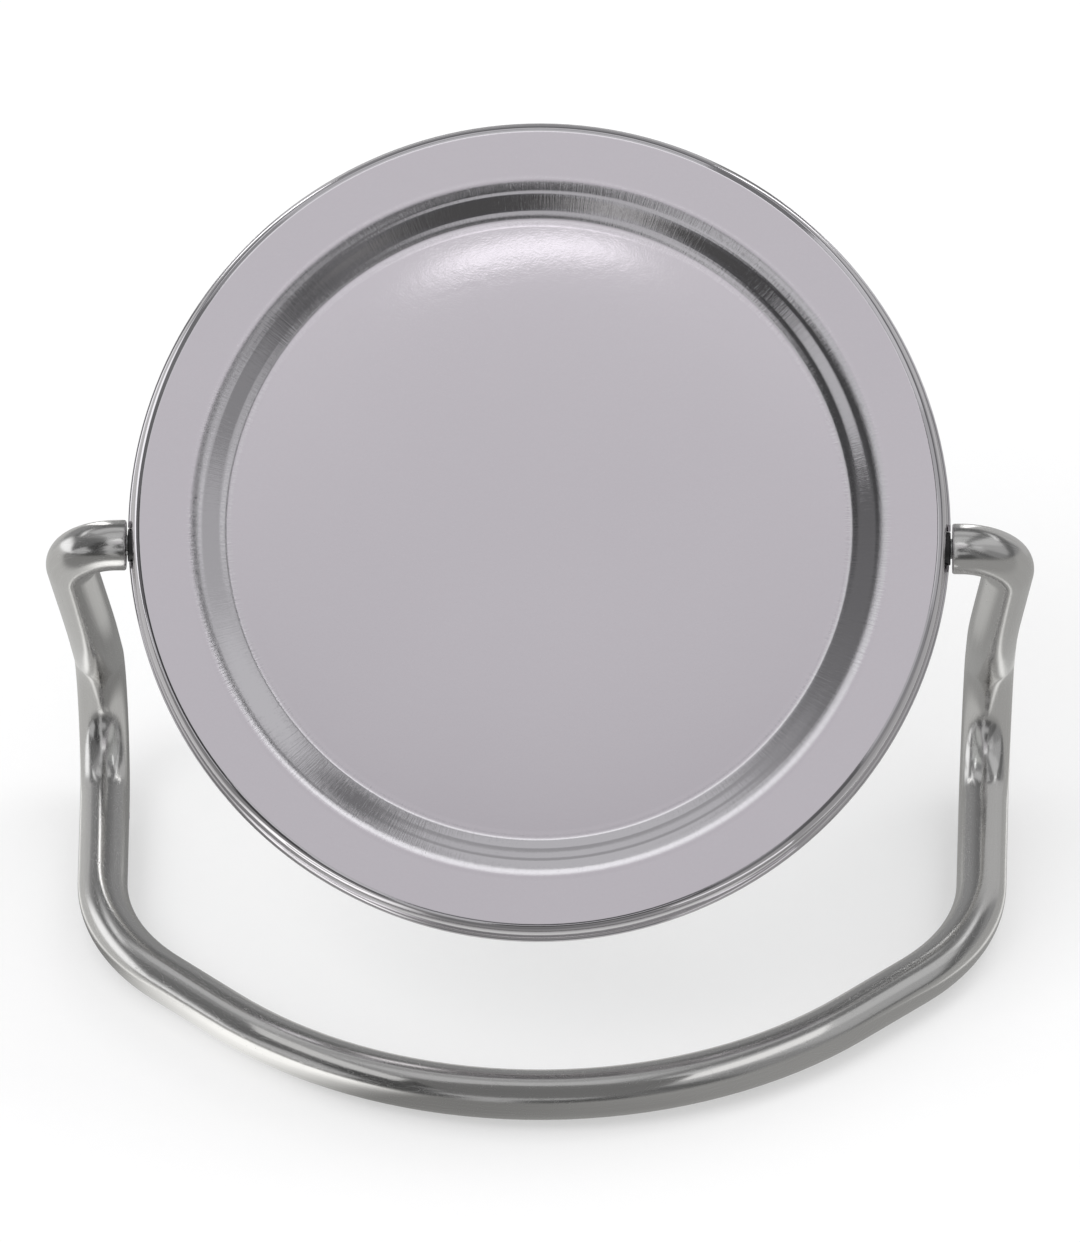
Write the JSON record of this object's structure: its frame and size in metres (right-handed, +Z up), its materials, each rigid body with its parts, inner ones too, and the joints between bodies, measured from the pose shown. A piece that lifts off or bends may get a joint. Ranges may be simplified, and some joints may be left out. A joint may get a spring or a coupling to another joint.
{
  "type": "tabletop shaving mirror",
  "caption": "Round polished steel shaving mirror that tilts between the ends of one bent steel bar, which is also its table stand.",
  "frame": {"origin": "on the table, below the middle of the object's box", "axes": "+X to the right, +Y to the back, +Z up; the metal face of the head looks to -Y and up"},
  "size_m": [0.1956, 0.1352, 0.1563],
  "materials": {
    "brushed_steel": "bright drawn bar with fine lengthwise lines",
    "polished_steel": "polished pressed sheet with a faint grain",
    "silvered_glass": "silvered float glass",
    "zinc_steel": "zinc plated",
    "carrier_plastic": "moulded, matt",
    "nylon": "satin",
    "foam": "closed-cell foam",
    "gasket_rubber": "matt",
    "clear_silicone": "translucent, soft gloss"
  },
  "bodies": {
    "stand": {"stand_bar": "brushed_steel", "pivot_stud_left": "zinc_steel", "friction_washer_left": "zinc_steel", "lock_nut_left": "zinc_steel", "foot_rear_left": "clear_silicone", "foot_front_left": "clear_silicone", "pivot_stud_right": "zinc_steel", "friction_washer_right": "zinc_steel", "lock_nut_right": "zinc_steel", "foot_rear_right": "clear_silicone", "foot_front_right": "clear_silicone"},
    "head": {"front_shell": "polished_steel", "rear_shell": "polished_steel", "mirror_glass": "silvered_glass", "glass_gasket": "gasket_rubber", "foam_core": "foam", "core_plate": "zinc_steel", "carrier_ring": "carrier_plastic", "pivot_block_left": "zinc_steel", "pivot_bushing_left": "nylon", "pivot_block_right": "zinc_steel", "pivot_bushing_right": "nylon", "plate_screw_1": "zinc_steel", "block_screw_1": "zinc_steel", "plate_screw_2": "zinc_steel", "block_screw_2": "zinc_steel", "plate_screw_3": "zinc_steel", "block_screw_3": "zinc_steel", "plate_screw_4": "zinc_steel", "block_screw_4": "zinc_steel"}
  },
  "joints": [
    {"name": "head_tilt", "type": "hinge", "parent": "stand", "child": "head", "pos_m": [0, 0.00494, 0.0902], "axis": [1, 0, 0], "continuous": true}
  ]
}
